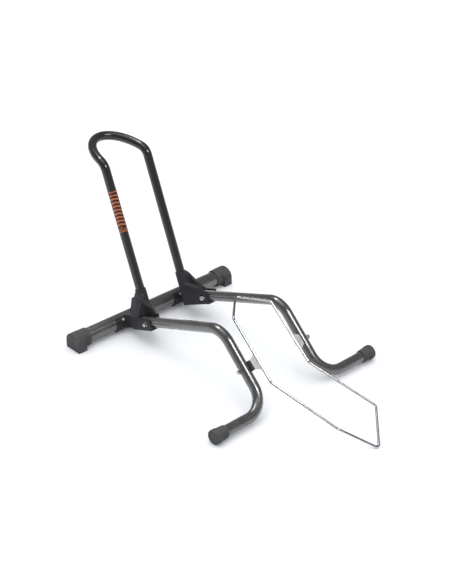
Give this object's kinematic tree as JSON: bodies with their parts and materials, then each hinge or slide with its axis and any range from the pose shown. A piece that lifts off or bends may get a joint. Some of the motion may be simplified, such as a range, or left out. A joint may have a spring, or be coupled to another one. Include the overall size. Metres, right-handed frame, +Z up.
{
  "type": "bicycle wheel stand",
  "caption": "Floor stand that holds a bicycle upright by one wheel: cross tube, bent legs, tall leaning hoop and a rocking wire cradle.",
  "frame": {"origin": "on the floor, under the middle of the stand's own box", "axes": "+Z up, -Y towards the front where the wheel rolls in, +X to the stand's right side; left and right in node names are -X and +X"},
  "size_m": [0.5056, 0.9471, 0.4345],
  "materials": {
    "graphite_paint": "glossy dark graphite paint with a fine metallic grain",
    "hoop_paint": "glossy near-black enamel",
    "black_nylon": "moulded, finely textured, slight sheen",
    "black_rubber": "soft matt rubber",
    "bright_zinc": "bright zinc plate"
  },
  "bodies": {
    "stand": {"bracket_left": "black_nylon", "bracket_right": "black_nylon", "hoop": "hoop_paint", "leg_bolt_left": "bright_zinc", "leg_bolt_nut_left": "bright_zinc", "leg_bolt_nut_right": "bright_zinc", "leg_bolt_right": "bright_zinc", "leg_bolt_washer_inner_left": "bright_zinc", "leg_bolt_washer_inner_right": "bright_zinc", "leg_bolt_washer_outer_left": "bright_zinc", "leg_bolt_washer_outer_right": "bright_zinc", "leg_foot_left": "black_rubber", "leg_foot_right": "black_rubber", "leg_left": "graphite_paint", "leg_right": "graphite_paint", "pivot_bolt_left": "bright_zinc", "pivot_bolt_right": "bright_zinc", "pivot_nut_left": "bright_zinc", "pivot_nut_right": "bright_zinc", "pivot_spacer_left": "black_nylon", "pivot_spacer_right": "black_nylon", "pivot_washer_left": "bright_zinc", "pivot_washer_right": "bright_zinc", "rear_foot_left": "black_rubber", "rear_foot_right": "black_rubber", "rear_tube": "graphite_paint", "saddle_screw_inner_left": "bright_zinc", "saddle_screw_inner_right": "bright_zinc", "saddle_screw_outer_left": "bright_zinc", "saddle_screw_outer_right": "bright_zinc"},
    "cradle": {"cradle_wire": "bright_zinc", "cradle_lug_left": "bright_zinc", "cradle_lug_right": "bright_zinc"}
  },
  "joints": [
    {"name": "cradle_rock", "type": "hinge", "parent": "stand", "child": "cradle", "pos_m": [0, -0.1494, 0.08584], "axis": [-1, 0, 0], "range_deg": [0, 65]}
  ]
}
